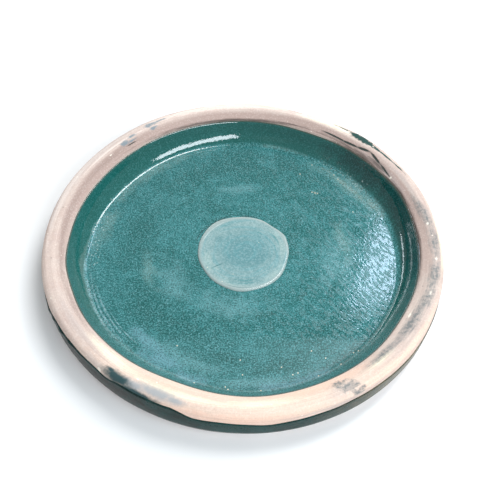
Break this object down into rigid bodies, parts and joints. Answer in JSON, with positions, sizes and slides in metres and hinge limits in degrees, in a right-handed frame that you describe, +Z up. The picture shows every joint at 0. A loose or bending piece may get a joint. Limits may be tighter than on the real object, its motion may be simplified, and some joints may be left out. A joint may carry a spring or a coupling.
{
  "type": "plant saucer",
  "caption": "Wide shallow stoneware saucer with a domed bare-clay rim, glazed hollow, raised centre pad and foot ring, to stand a plant pot in and catch its water.",
  "frame": {"origin": "centre of the foot ring's resting face", "axes": "+Z up through the middle of the dish; +Y points away from the viewer of the picture, so the near side of the rim is at -Y and the spill of glaze on the rim is at the front left"},
  "size_m": [0.4016, 0.4016, 0.044],
  "materials": {
    "bare_clay": "matt fired stoneware with fine sponge lines",
    "pad_clay": "matt fired stoneware",
    "inside_glaze": "gloss, speckled teal",
    "outside_glaze": "gloss, dark green",
    "pad_wash": "thin satin wash, pale grey teal"
  },
  "bodies": {
    "root": {"clay_dish": "bare_clay", "centre_pad": "pad_clay", "inside_glaze": "inside_glaze", "outside_glaze": "outside_glaze", "pad_wash": "pad_wash"}
  },
  "joints": []
}
